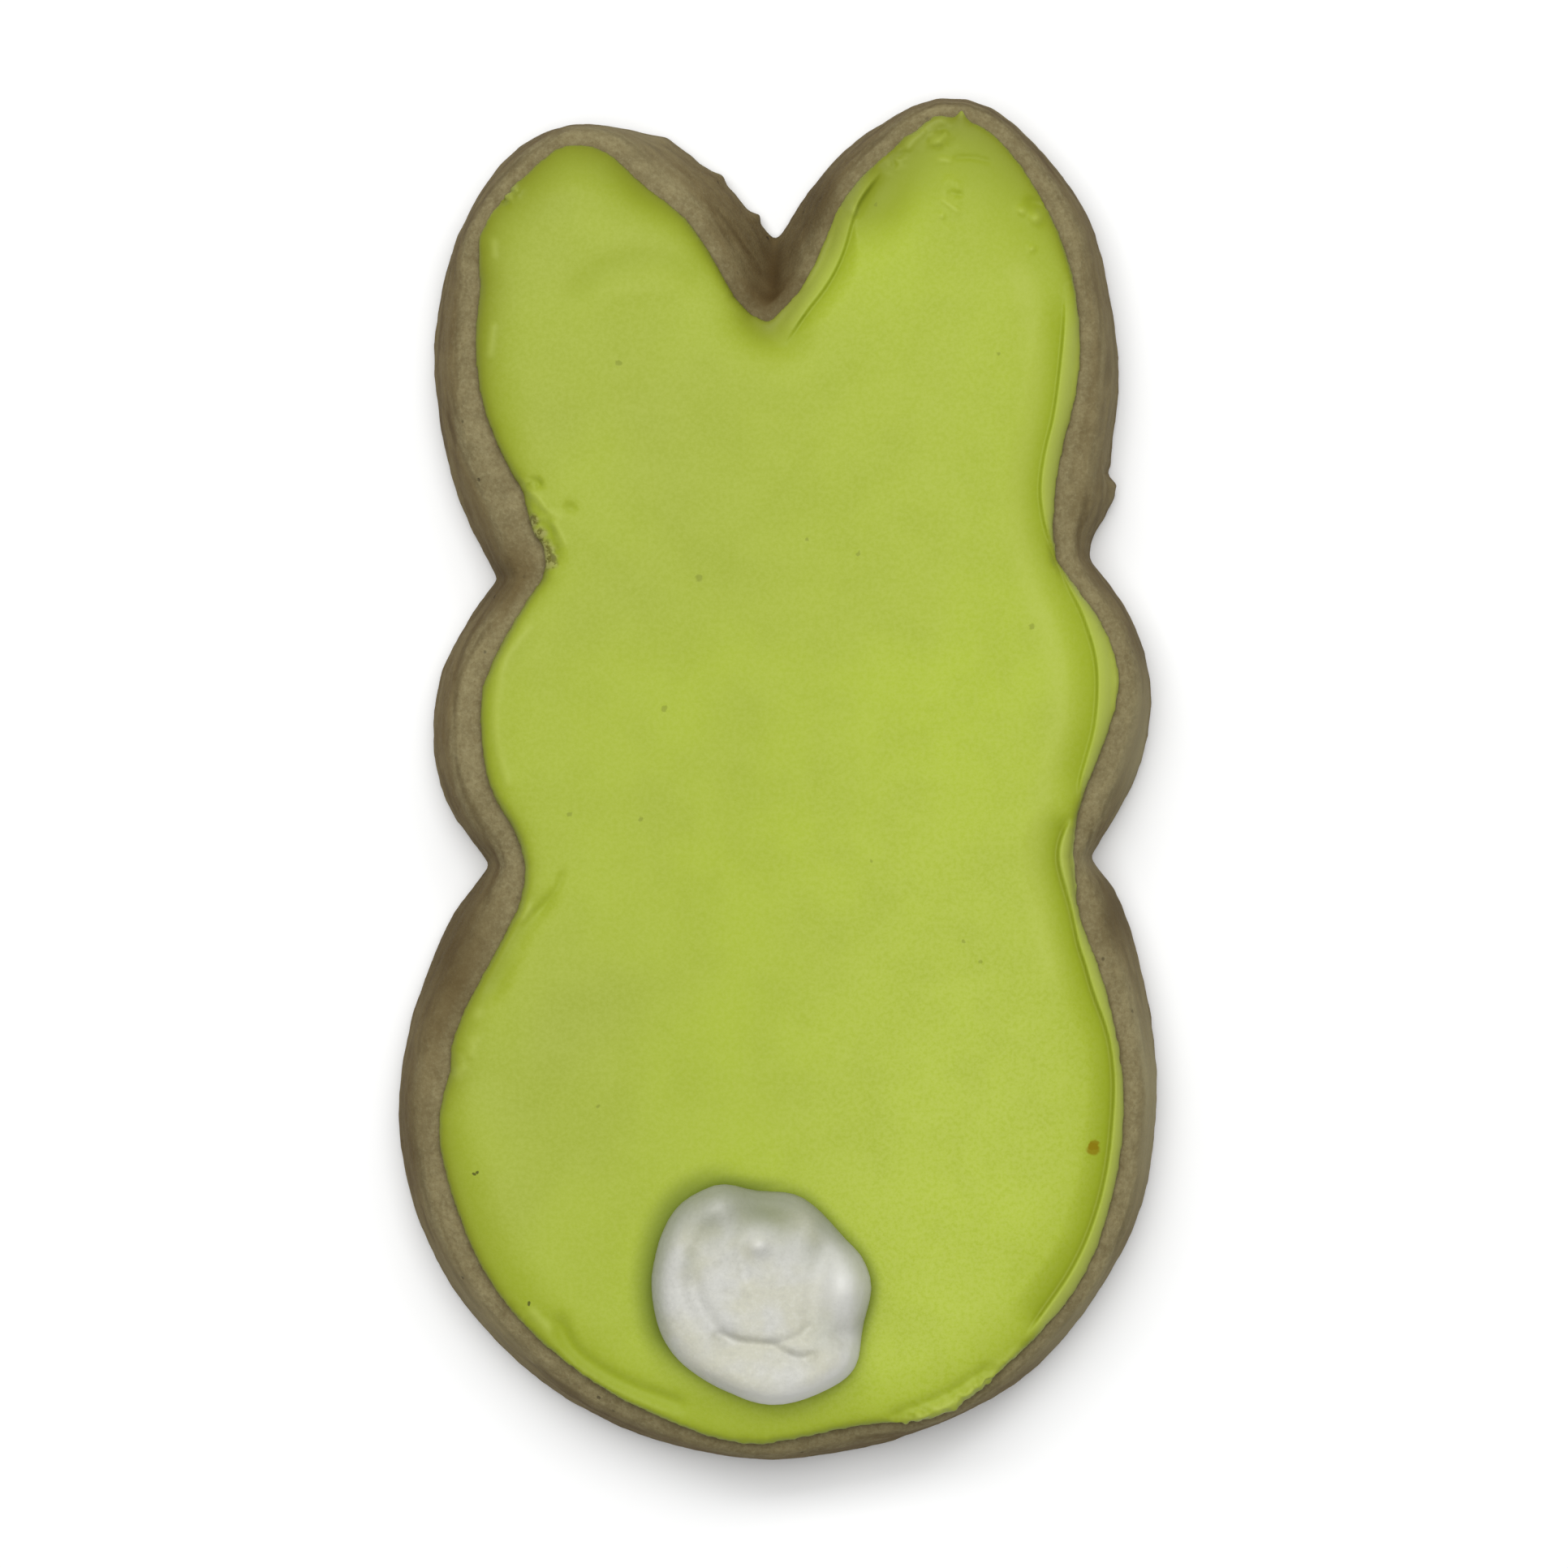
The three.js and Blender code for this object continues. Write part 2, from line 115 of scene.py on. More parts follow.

# Smaller marks, given in the same way; some get a painted shade in their hollows, by a share
ICING_MARKS = [
    # the fine crease in the hollow beside the left neck, and the ridges along it
    dict(path=[(-16.9, -7.4), (-17.2, -8.4), (-18.0, -9.6), (-18.9, -10.6)],
         height=-0.14, width=0.35, deep=0.5),
    dict(path=[(-19.4, -10.0), (-19.7, -10.5), (-20.1, -11.1)], height=0.14, width=0.35),
    dict(path=[(-20.5, -13.3), (-21.1, -14.5)], height=0.05, width=0.3),
    # soft bead along the left of the head, and the knife's arcs over the left ear
    dict(path=[(-19.5, 12.0), (-21.5, 9.5), (-22.1, 6.9), (-22.3, 4.3), (-21.9, 1.6), (-21.2, -0.5)],
         height=0.08, width=0.35),
    dict(path=[(-18.6, 11.4), (-20.6, 8.8), (-21.2, 6.0), (-21.2, 3.5), (-20.6, 0.6)],
         height=-0.07, width=0.6),
    dict(path=[(-16.2, 38.0), (-14.7, 39.4), (-13.0, 40.4), (-10.9, 40.9), (-9.2, 40.9),
               (-7.4, 40.3), (-6.3, 38.9)], height=-0.16, width=1.1, deep=0.45),
    dict(path=[(-14.0, 37.6), (-11.4, 38.6), (-8.6, 38.4)], height=0.1, width=1.0),
    dict(path=[(-18.5, 45.4), (-15.9, 46.6), (-13.5, 45.4)], height=0.1, width=1.0),
    dict(path=[(-22.4, 35.7), (-22.7, 33.2)], height=0.12, width=0.3),
    dict(path=[(-22.4, 42.4), (-22.3, 41.0)], height=0.07, width=0.3),
    # faint strokes down the back
    dict(path=[(-3.4, 17.8), (-4.9, 10.0), (-6.3, -2.6), (-7.2, -12.0), (-8.8, -21.1)],
         height=-0.05, width=0.6),
    dict(path=[(4.5, 27.0), (0.5, 22.5), (-2.6, 18.5)], height=-0.05, width=0.8),
    # lumps and dents at the right ear's tip
    dict(path=[(10.1, 49.7), (11.0, 50.7), (12.0, 51.5), (13.2, 51.9)], height=0.18, width=0.4),
    dict(path=[(12.3, 50.2), (13.0, 50.4)], height=0.38, width=0.5),
    dict(path=[(13.2, 51.4), (12.1, 50.9), (11.2, 49.9)], height=-0.05, width=0.4, deep=0.25),
    dict(path=[(12.7, 48.8), (13.6, 48.6)], height=0.14, width=0.3),
    dict(path=[(14.0, 48.9), (15.4, 48.95), (16.7, 48.6)], height=-0.1, width=0.25, deep=0.5),
    dict(path=[(13.3, 47.0), (14.0, 46.6)], height=0.15, width=0.65),
    dict(path=[(13.6, 46.1), (14.5, 45.9)], height=-0.16, width=0.28, deep=0.8),
    dict(path=[(12.9, 45.6), (13.5, 45.15), (14.2, 44.6)], height=0.13, width=0.28),
    dict(path=[(12.9, 44.3)], height=0.15, width=0.25),
    dict(path=[(12.6, 43.9), (14.4, 43.8)], height=-0.06, width=0.4, deep=0.3),
    dict(path=[(20.3, 44.15)], height=0.46, width=0.5),
    dict(path=[(19.4, 44.6), (19.0, 44.8)], height=0.26, width=0.35),
    dict(path=[(19.8, 45.5), (20.9, 45.2)], height=-0.3, width=0.45, deep=0.9),
    dict(path=[(20.0, 41.7)], height=0.2, width=0.25),
    dict(path=[(14.5, 52.3), (14.6, 52.7)], height=0.3, width=0.3),
    # the swelling end of the lip at the right ear's root
    dict(path=[(5.9, 44.6), (6.8, 46.4), (8.2, 47.9)], height=0.2, width=0.6),
    dict(path=[(6.0, 44.7)], height=0.15, width=0.4),
    # snag at the left ear's corner
    dict(path=[(-21.0, 46.8), (-20.5, 46.3)], height=0.45, width=0.35),
    dict(path=[(-21.9, 45.7), (-21.5, 45.5)], height=-0.5, width=0.35, deep=0.7),
    dict(path=[(-23.2, 44.2), (-22.4, 45.0)], height=0.2, width=0.3),
    # the torn place at the left ear's root
    dict(path=[(-19.4, 22.6), (-18.8, 22.1), (-18.3, 21.3)], height=0.22, width=0.35),
    dict(path=[(-18.3, 21.3), (-17.5, 20.7), (-17.0, 20.4)], height=0.08, width=0.3),
    dict(path=[(-19.0, 23.4), (-18.7, 23.1)], height=-0.3, width=0.35, deep=0.8),
    dict(path=[(-16.5, 21.4), (-16.1, 21.2)], height=-0.2, width=0.45, deep=0.6),
    dict(path=[(-17.6, 20.2), (-17.1, 19.3), (-16.7, 18.4)], height=0.12, width=0.25),
    dict(path=[(-18.4, 20.2), (-17.6, 18.6), (-17.3, 17.0)], height=-0.3, width=0.5, deep=0.7),
    # lumps at the left of the body and along the bottom
    dict(path=[(-25.2, -23.4), (-24.8, -22.6)], height=0.16, width=0.5),
    dict(path=[(-24.3, -21.8), (-23.8, -20.3)], height=0.08, width=0.45),
    dict(path=[(-23.7, -18.8), (-23.5, -18.2)], height=0.07, width=0.35),
    dict(path=[(-22.4, -41.1), (-22.1, -41.4)], height=0.18, width=0.25),
    dict(path=[(-19.5, -41.8), (-18.9, -42.6), (-17.9, -43.4)], height=0.12, width=0.4),
    dict(path=[(9.3, -51.1), (11.0, -50.5), (13.7, -49.6), (15.0, -48.5), (16.1, -47.6),
               (17.2, -46.9), (19.2, -45.0)], height=0.28, width=0.4),
    dict(path=[(9.0, -50.1), (11.3, -49.3), (13.3, -48.5), (14.8, -47.6), (16.7, -46.3)],
         height=-0.24, width=0.5, deep=0.3),
]

# the tops of the crags get a painted highlight that follows their relief
CRAG_SEED = 31  # of the crags' relief, which the paler colour on their tops follows

# Lines along which the icing is crumbly, how high the crags stand, how far they reach and
# their size
ICING_CRAGS = [
    dict(path=[(11.9, 51.0), (13.4, 50.5)], height=0.16, width=1.2, size=0.6),
    dict(path=[(13.2, 46.8), (14.4, 45.4)], height=0.05, width=1.0, size=0.5),
    dict(path=[(8.6, 48.0), (10.2, 49.4)], height=0.14, width=0.7, size=0.6),
    dict(path=[(-21.3, 46.2)], height=0.26, width=0.8, size=0.5),
    dict(path=[(-19.0, 21.0), (-18.3, 18.0)], height=0.14, width=1.1, size=0.6),
    dict(path=[(-19.4, 23.2)], height=0.15, width=0.7, size=0.5),
    dict(path=[(-24.9, -23.0), (-24.2, -20.6)], height=0.1, width=0.8, size=0.6),
    dict(path=[(-22.2, -41.3), (-19.8, -43.0)], height=0.1, width=0.9, size=0.6),
    dict(path=[(9.3, -50.9), (13.6, -49.4), (17.6, -46.6)], height=0.28, width=0.7, size=0.65),
    dict(path=[(-4.5, -52.9), (0.5, -52.9)], height=0.18, width=0.7, size=0.6),
]

# Small places where the icing's edge stands out: x, y, how far along x and y, and reach
ICING_KNOBS = [
    (23.3, -7.0, 0.4, 0.0, 3.0),
    (14.5, 52.1, 0.0, 0.6, 0.4),
    (12.4, 51.8, -0.15, 0.25, 1.0),
    (10.2, 50.4, -0.1, 0.12, 0.5),
    (11.2, -50.6, 0.05, -0.15, 0.5),
    (13.9, -49.6, 0.08, -0.15, 0.5),
]

# ---------------------------------------------------------------- shapes of the tail

TAIL_MIDDLE = (-1.4, -40.8)
TAIL_NUB = (-1.5, -36.3)
TAIL_LOBE = (5.8, -40.0)
TAIL_TOP = 4.1
TAIL_TURN = 3.4  # how far in from the edge the dome still rises

# Relief of the tail: a path, the height along it and the reach to each side
TAIL_MARKS = [
    # lobes of the ring round the crown
    dict(path=[(-8.1, -36.4), (-8.3, -38.0)], height=0.3, width=1.5),
    dict(path=[(-5.4, -33.6), (-3.9, -32.9)], height=0.8, width=1.4),
    dict(path=[(5.0, -39.3), (5.3, -40.2)], height=1.0, width=1.9),
    dict(path=[(1.8, -46.8), (4.4, -45.4)], height=0.25, width=1.2),
    # the swirl's soft groove down the left, and the fold under the crown
    dict(path=[(-5.2, -34.8), (-6.0, -36.4), (-6.7, -38.0), (-6.8, -39.6)], height=-0.26, width=0.9),
    dict(path=[(-6.8, -39.4), (-6.4, -41.0), (-5.6, -42.4), (-4.4, -43.6), (-3.2, -44.3)],
         height=-0.42, width=0.75),
    dict(path=[(-4.8, -43.5), (-3.2, -44.15), (-1.8, -44.25), (-0.7, -44.35), (0.5, -44.95),
               (1.4, -45.4), (2.2, -45.45), (2.9, -45.1)], height=-0.32, width=0.4),
    dict(path=[(-4.6, -44.3), (-3.2, -44.9), (-0.9, -45.0), (1.0, -45.9), (2.6, -46.0)],
         height=-0.3, width=0.8),
    dict(path=[(-0.7, -44.3), (0.7, -44.1), (1.8, -43.7), (2.6, -42.9)], height=-0.2, width=0.4),
    # the valley on the right of the crown
    dict(path=[(3.6, -36.4), (3.6, -38.2), (3.2, -39.9), (2.8, -41.4), (2.6, -43.0)],
         height=-0.45, width=1.0),
    dict(path=[(4.8, -43.4), (5.8, -44.0), (6.6, -44.6)], height=-0.5, width=0.9),
    # small dents of the crown and the ring
    dict(path=[(-2.9, -36.8), (-2.8, -38.2), (-2.6, -39.2)], height=-0.22, width=0.6),
    dict(path=[(-4.2, -40.1), (-3.3, -40.8), (-2.3, -40.9)], height=-0.1, width=0.5),
    dict(path=[(-5.3, -38.8), (-4.7, -38.3), (-4.1, -37.9)], height=-0.1, width=0.5),
    dict(path=[(-2.6, -46.0), (-1.2, -46.3), (0.2, -46.1)], height=-0.14, width=0.7),
    # the hollow at the top and the nub beside it
    dict(path=[(-2.4, -33.0), (-0.9, -33.3), (0.8, -33.2)], height=-1.4, width=1.9),
    dict(path=[(-2.6, -36.0), (-1.4, -35.2), (-0.1, -35.8)], height=-0.25, width=0.8),
    dict(path=[(-1.5, -36.4)], height=0.7, width=0.85),
]

# ---------------------------------------------------------------- numbers on many points

CORNER_CUTS = 3


def rounded(path):
    """A path with its corners cut until it runs smoothly."""
    points = np.array(path, float)
    for _ in range(CORNER_CUTS if len(points) > 2 else 0):
        early = 0.75 * points[:-1] + 0.25 * points[1:]
        late = 0.25 * points[:-1] + 0.75 * points[1:]
        between = np.stack([early, late], axis=1).reshape(-1, 2)
        points = np.vstack([points[:1], between, points[-1:]])
    return points


def step_lengths(path):
    return np.linalg.norm(np.diff(path, axis=0), axis=1)


def path_distance(spots, path):
    """How far spots are from a path, to its left as plus, and how far along it from 0 to 1."""
    if len(path) == 1:
        return np.linalg.norm(spots - path[0], axis=1), np.full(len(spots), 0.5)
    least = np.full(len(spots), np.inf)
    side = np.ones(len(spots))
    along = np.zeros(len(spots))
    lengths = step_lengths(path)
    reached = np.concatenate([[0], np.cumsum(lengths)])
    for i, length in enumerate(lengths):
        step = path[i + 1] - path[i]
        offset = spots - path[i]
        share = np.clip(offset @ step / length**2, 0, 1)
        away = np.linalg.norm(offset - share[:, None] * step, axis=1)
        nearer = away < least
        least[nearer] = away[nearer]
        turn = step[0] * offset[:, 1] - step[1] * offset[:, 0]
        side[nearer] = np.where(turn[nearer] < 0, -1, 1)
        along[nearer] = (reached[i] + share[nearer] * length) / reached[-1]
    return least * side, along


def distance_to(points, path):
    """How far points lie from a path on either side, seen from above."""
    return np.abs(path_distance(points[:, :2], path)[0])


def inset_from(points, edge, inside):
    """How far points lie within an outline, seen from above, given one place inside it."""
    inset = path_distance(points[:, :2], edge)[0]
    nearest = np.argmin(np.linalg.norm(points[:, :2] - inside, axis=1))
    return inset * np.sign(inset[nearest])


def bell(away):
    """1 at 0, running out softly to both sides."""
    return np.exp(-(away**2))


def dab(spots, place, reach):
    """A soft round or oval spot: 1 at its place, running out over its reach."""
    return bell(np.linalg.norm((spots - place) / reach, axis=1))


def ramp_up(value, low, high):
    """A smooth change from 0 at low to 1 at high, which may lie below low."""
    share = np.clip((value - low) / (high - low), 0, 1)
    return share * share * (3 - 2 * share)


def grain(points, size, seed):
    """Smooth seeded noise from -1 to 1 with lumps of the given size, or sizes along each axis."""
    scaled = points / np.array(size) + seed * 17.3
    return np.array([noise.noise(Vector(p)) for p in scaled])


def at_level_zero(spots):
    """Spots as points of height 0, for grain that is the same all the way down."""
    return np.column_stack([spots, np.zeros(len(spots))])


def near(spots, path, reach):
    """Which spots lie in the box round a path, widened by a reach."""
    low, high = path.min(axis=0) - reach, path.max(axis=0) + reach
    return np.all((spots > low) & (spots < high), axis=1)


def spaced(path, step):
    """Points along a path at about equal steps."""
    reached = np.concatenate([[0], np.cumsum(step_lengths(path))])
    count = max(int(reached[-1] / step), 1) if len(path) > 1 else 0
    at = np.linspace(0, reached[-1], count + 1)
    return np.column_stack([np.interp(at, reached, path[:, 0]), np.interp(at, reached, path[:, 1])])


def stroke(spots, path, width):
    """A soft stroke: 1 along its middle, running out at its ends and to both sides."""
    steps = spaced(path, width / 2)
    peak = dab(steps, steps[len(steps) // 2], width).sum()
    cover = np.zeros(len(spots))
    for step in steps:
        cover += dab(spots, step, width)
    return cover / peak


def strokes(spots, marks):
    """For each of some marks: the spots that it can touch, and how strongly it covers them."""
    for mark in marks:
        path = rounded(mark["path"])
        chosen = near(spots, path, 3 * mark["width"])
        yield mark, chosen, stroke(spots[chosen], path, mark["width"])


def marks_height(spots, marks):
    """The height that a list of marks adds at each spot."""
    height = np.zeros(len(spots))
    for mark, chosen, cover in strokes(spots, marks):
        height[chosen] += mark["height"] * cover
    return height


def patches(spots, table):
    """The most that any patch of a table, each x, y, reach along x and y, strength, gives."""
    amount = np.zeros(len(spots))
    for x, y, reach_x, reach_y, strength in table:
        amount = np.maximum(amount, strength * dab(spots, (x, y), (reach_x, reach_y)))
    return amount


# ---------------------------------------------------------------- meshes


def put(name, data):
    """A new object in the scene."""
    thing = bpy.data.objects.new(name, data)
    bpy.context.scene.collection.objects.link(thing)
    return thing


def solid_of(node):
    """A CAD node's solid as one closed mesh, in millimetres."""
    made = bmesh.new()
    made.from_mesh(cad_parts[node].data)
    bmesh.ops.remove_doubles(made, verts=made.verts, dist=1e-6)
    bmesh.ops.scale(made, verts=made.verts, vec=(1 / MM,) * 3)
    return made


def fine_copy(node, voxel, passes):
    """A CAD node's solid in faces of about a voxel, smoothed in some passes."""
    mesh = bpy.data.meshes.new(node)
    made = solid_of(node)
    made.to_mesh(mesh)
    made.free()
    piece = put(node, mesh)
    remesh = piece.modifiers.new("remesh", "REMESH")
    remesh.mode = "VOXEL"
    remesh.voxel_size = voxel
    made = bmesh.new()
    made.from_object(piece, bpy.context.evaluated_depsgraph_get())
    bpy.data.objects.remove(piece)
    for _ in range(passes):
        bmesh.ops.smooth_vert(
            made, verts=made.verts, factor=0.5, use_axis_x=True, use_axis_y=True, use_axis_z=True
        )
    return made


def places(made):
    return np.array([v.co for v in made.verts])


def facings(made):
    made.normal_update()
    return np.array([v.normal for v in made.verts])


def move_to(made, points):
    for vert, point in zip(made.verts, points):
        vert.co = point


def merge_hidden(made, hidden):
    """Makes one face of the faces that lie flat against something, to keep the mesh light."""
    made.verts.ensure_lookup_table()
    flat = [f for f in made.faces if all(hidden[v.index] for v in f.verts)]
    bmesh.ops.dissolve_faces(made, faces=flat, use_verts=True)


def finished(made, name, material, paints):
    """Turns a mesh in millimetres into a piece in its place, with its painted values."""
    bmesh.ops.scale(made, verts=made.verts, vec=(MM,) * 3)
    for face in made.faces:
        face.smooth = True
    mesh = bpy.data.meshes.new(name)
    made.to_mesh(mesh)
    made.free()
    mesh.materials.append(material)
    points = np.zeros(len(mesh.vertices) * 3)
    mesh.vertices.foreach_get("co", points)
    points = points.reshape(-1, 3) / MM
    for paint, amount in paints.items():
        attribute = mesh.attributes.new(paint, "FLOAT", "POINT")
        attribute.data.foreach_set("value", amount(points).astype(np.float32))
    piece = put(name, mesh)
    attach(piece, "root")
    return piece


def outline_of(node, height):
    """The corners of a node's outline at a height, in order round it, in millimetres."""
    made = solid_of(node)
    cut = bmesh.ops.bisect_plane(
        made, geom=made.verts[:] + made.edges[:] + made.faces[:], dist=1e-5,
        plane_co=(0, 0, height), plane_no=(0, 0, 1),
    )
    ring = [e for e in cut["geom_cut"] if isinstance(e, bmesh.types.BMEdge)]
    links = {}
    for edge in ring:
        a, b = edge.verts
        links.setdefault(a, []).append(b)
        links.setdefault(b, []).append(a)
    first = ring[0].verts[0]
    before, here = None, first
    corners = [first.co.xy[:]]
    while before is None or here is not first:
        onward = [v for v in links[here] if v is not before]
        before, here = here, onward[0]
        corners.append(here.co.xy[:])
    made.free()
    return np.array(corners)


# ---------------------------------------------------------------- material nodes


class Term:
    """A shader socket that takes part in sums."""

    def __init__(self, paint, socket):
        self.paint = paint
        self.socket = socket

    def worked(self, operation, a, b):
        return self.paint.node("ShaderNodeMath", {"operation": operation}, {0: a, 1: b})

    def __add__(self, other):
        return self.worked("ADD", self, other)

    def __radd__(self, other):
        return self.worked("ADD", other, self)

    def __sub__(self, other):
        return self.worked("SUBTRACT", self, other)

    def __rsub__(self, other):
        return self.worked("SUBTRACT", other, self)

    def __mul__(self, other):
        return self.worked("MULTIPLY", self, other)

    def __rmul__(self, other):
        return self.worked("MULTIPLY", other, self)


class Paint:
    """The nodes of one material, with its places in millimetres."""

    def __init__(self, name):
        self.material = bpy.data.materials.new(name)
        self.material.use_nodes = True
        self.tree = self.material.node_tree
        self.shader = self.tree.nodes["Principled BSDF"]
        object_place = self.node("ShaderNodeTexCoord", output="Object")
        self.place = self.node(
            "ShaderNodeVectorMath", {"operation": "SCALE"}, {0: object_place, "Scale": 1 / MM}
        )

    def node(self, kind, settings=None, inputs=None, output=0):
        """A new node's output, with its settings made first and then its sockets fed."""
        made = self.tree.nodes.new(kind)
        for name, value in (settings or {}).items():
            setattr(made, name, value)
        for name, value in (inputs or {}).items():
            self.feed(made.inputs[name], value)
        return Term(self, made.outputs[output])

    def feed(self, socket, value):
        """Links a term to a socket, or sets the socket's value; a colour may leave out alpha."""
        if isinstance(value, Term):
            self.tree.links.new(value.socket, socket)
        elif hasattr(socket.default_value, "__len__") and len(value) < len(socket.default_value):
            socket.default_value = (*value, 1)
        else:
            socket.default_value = value

    def set(self, **sockets):
        for name, value in sockets.items():
            self.feed(self.shader.inputs[name.replace("_", " ")], value)

    def painted(self, name):
        return self.node("ShaderNodeAttribute", {"attribute_name": name}, output="Fac")

    def along(self, axis):
        return self.node("ShaderNodeSeparateXYZ", {}, {0: self.place}, axis)

    def vector(self, operation, a, b, output="Vector"):
        return self.node("ShaderNodeVectorMath", {"operation": operation}, {0: a, 1: b}, output)

    def noise(self, size, detail=2.0, rough=0.5, place=None):
        """Smooth noise from 0 to 1 in lumps of a size in millimetres."""
        return self.node(
            "ShaderNodeTexNoise", {},
            {"Vector": place or self.place, "Scale": 1 / size, "Detail": detail, "Roughness": rough},
        )

    def cells(self, size):
        """Distance to the nearest of scattered points, as a share of their spacing."""
        return self.node("ShaderNodeTexVoronoi", {}, {"Vector": self.place, "Scale": 1 / size})

    def between(self, value, low, high):
        """A smooth change from 0 at low to 1 at high, which may lie below low."""
        return self.node(
            "ShaderNodeMapRange", {"interpolation_type": "SMOOTHSTEP"},
            {"Value": value, "From Min": low, "From Max": high},
        )

    def blend(self, share, a, b):
        """Colour a where the share is 0, and b where it is 1."""
        return self.node("ShaderNodeMix", {"data_type": "RGBA"}, {0: share, 6: a, 7: b}, 2)

    def coats(self, color, layers):
        """A colour under others in turn, each a painted value's name, a strength and a colour."""
        for name, strength, coat in layers:
            color = self.blend(self.painted(name) * strength, color, coat)
        return color

    def spots(self, places):
        """How far spots with uneven rims, each x, y and radius, cover the piece."""
        wander = self.node(
            "ShaderNodeTexNoise", {}, {"Vector": self.place, "Scale": 2.5, "Detail": 1.0}, "Color"
        )
        # places wander by up to 0.2 mm to each side, seen from above
        moved = self.vector("ADD", self.place, self.vector("MULTIPLY", wander, (0.4, 0.4, 0)))
        flat = self.vector("MULTIPLY", moved, (1, 1, 0))
        centred = self.vector("SUBTRACT", flat, (0.2, 0.2, 0))
        cover = 0.0
        for x, y, radius in places:
            away = self.vector("DISTANCE", centred, (x, y, 0), "Value")
            cover = self.between(away, radius, radius * 0.55) + cover
        return cover

    def bump(self, height, distance):
        """Normals tilted by a height, whose full swing is the distance in millimetres."""
        return self.node(
            "ShaderNodeBump", {},
            {"Height": height, "Distance": distance * MM, "Strength": 1.0}, "Normal",
        )


def shade(red, green, blue):
    """The linear colour of a level face that is to come out as a screen colour."""

    def linear(value):
        value = value / 255
        low = value <= 0.04045
        return (value / 12.92 if low else ((value + 0.055) / 1.055) ** 2.4) / LIGHT

    return linear(red), linear(green), linear(blue)


# Small marks in the icing's colour, each x, y and radius
ICING_SPECKS = [
    (20.0, 11.9, 0.3), (-6.2, 15.8, 0.34), (-16.4, -2.8, 0.2), (-10.8, -3.2, 0.26),
    (-14.1, -25.8, 0.18), (-8.9, 5.5, 0.3), (15.9, -14.4, 0.24), (14.6, -12.8, 0.18),
    (7.4, -6.5, 0.2), (6.3, 17.7, 0.18), (2.3, 18.8, 0.18), (-12.5, 32.7, 0.3),
    (17.3, 33.4, 0.18), (7.7, 45.2, 0.22),
]
DARK_SPECKS = [(-23.85, -31.15, 0.16), (-23.65, -31.0, 0.14), (-19.6, -41.3, 0.2)]
BROWN_STAIN = [(24.8, -29.2, 0.62), (24.9, -28.8, 0.5)]


def icing_ground(paint, deep, pale):
    """The icing's green, cloudy and grainy: olive in broad clouds and with painted shade to the left,
    and painted light toward the lower right.
    """
    across = paint.along("X")
    # olive half in broad random clouds and half as painted shade toward the left side
    left = paint.between(paint.noise(22), 0.35, 0.65) * 0.5 + paint.between(across, 8, -22) * 0.5
    color = paint.blend(left, shade(173, 192, 50), shade(164, 177, 62))
    # painted light toward the right and the lower side, where more pale grain shows too
    low = paint.between(paint.along("Y"), 20, -42) * 0.35 + 0.1
    light_side = paint.between(across, -6, 14) * low
    color = paint.blend(light_side, color, shade(193, 212, 71))
    color = paint.blend(paint.between(paint.noise(5, 3, 0.6), 0.35, 0.75) * 0.25, color, deep)
    fine = paint.noise(0.35, 2, 0.7)
    color = paint.blend(paint.between(fine, 0.3, 0.7) * (light_side * 0.35 + 0.18), color, pale)
    return paint.blend(paint.between(fine, 0.5, 0.3) * light_side * 0.3, color, deep)


def with_crumbs(paint, color):
    """A colour with crumbs of biscuit in it, of two browns and with ragged edges."""
    browns = paint.between(paint.noise(0.5, 2, 0.7), 0.42, 0.56)
    crumbs = paint.blend(browns, shade(104, 97, 46), shade(160, 158, 92))
    ragged = paint.painted("crumb") + paint.noise(0.6, 2, 0.6) * 0.5
    return paint.blend(paint.between(ragged, 0.45, 1.05) * 0.85, color, crumbs)


def icing_material():
    paint = Paint("green_icing")
    deep = shade(151, 167, 30)
    pale = shade(196, 207, 105)
    # over the ground: deeper where thin and painted shade on falls, creases and dents, the paler lips,
    # thin edges darkened with painted shade, painted highlights, and the painted shadow beside the tail
    color = paint.coats(icing_ground(paint, deep, pale), [
        ("deep", 0.8, deep),
        ("lip", 0.7, shade(188, 200, 93)),
        ("edge", 0.72, shade(112, 112, 38)),
        ("pale", 0.6, pale),
        ("shadow", 0.9, shade(112, 128, 22)),
    ])
    color = with_crumbs(paint, color)
    color = paint.blend(paint.spots(ICING_SPECKS) * 0.45, color, shade(120, 128, 30))
    color = paint.blend(paint.spots(DARK_SPECKS) * 0.8, color, shade(70, 70, 26))
    color = paint.blend(paint.spots(BROWN_STAIN) * 0.85, color, shade(146, 128, 8))
    paint.set(
        Base_Color=color,
        Roughness=0.4 + paint.noise(3, 2, 0.6) * 0.12,
        Specular_IOR_Level=0.14,
        Normal=paint.bump(paint.noise(0.22, 2, 0.6) + paint.noise(1.6) * 2.0, 0.012),
    )
    return paint.material


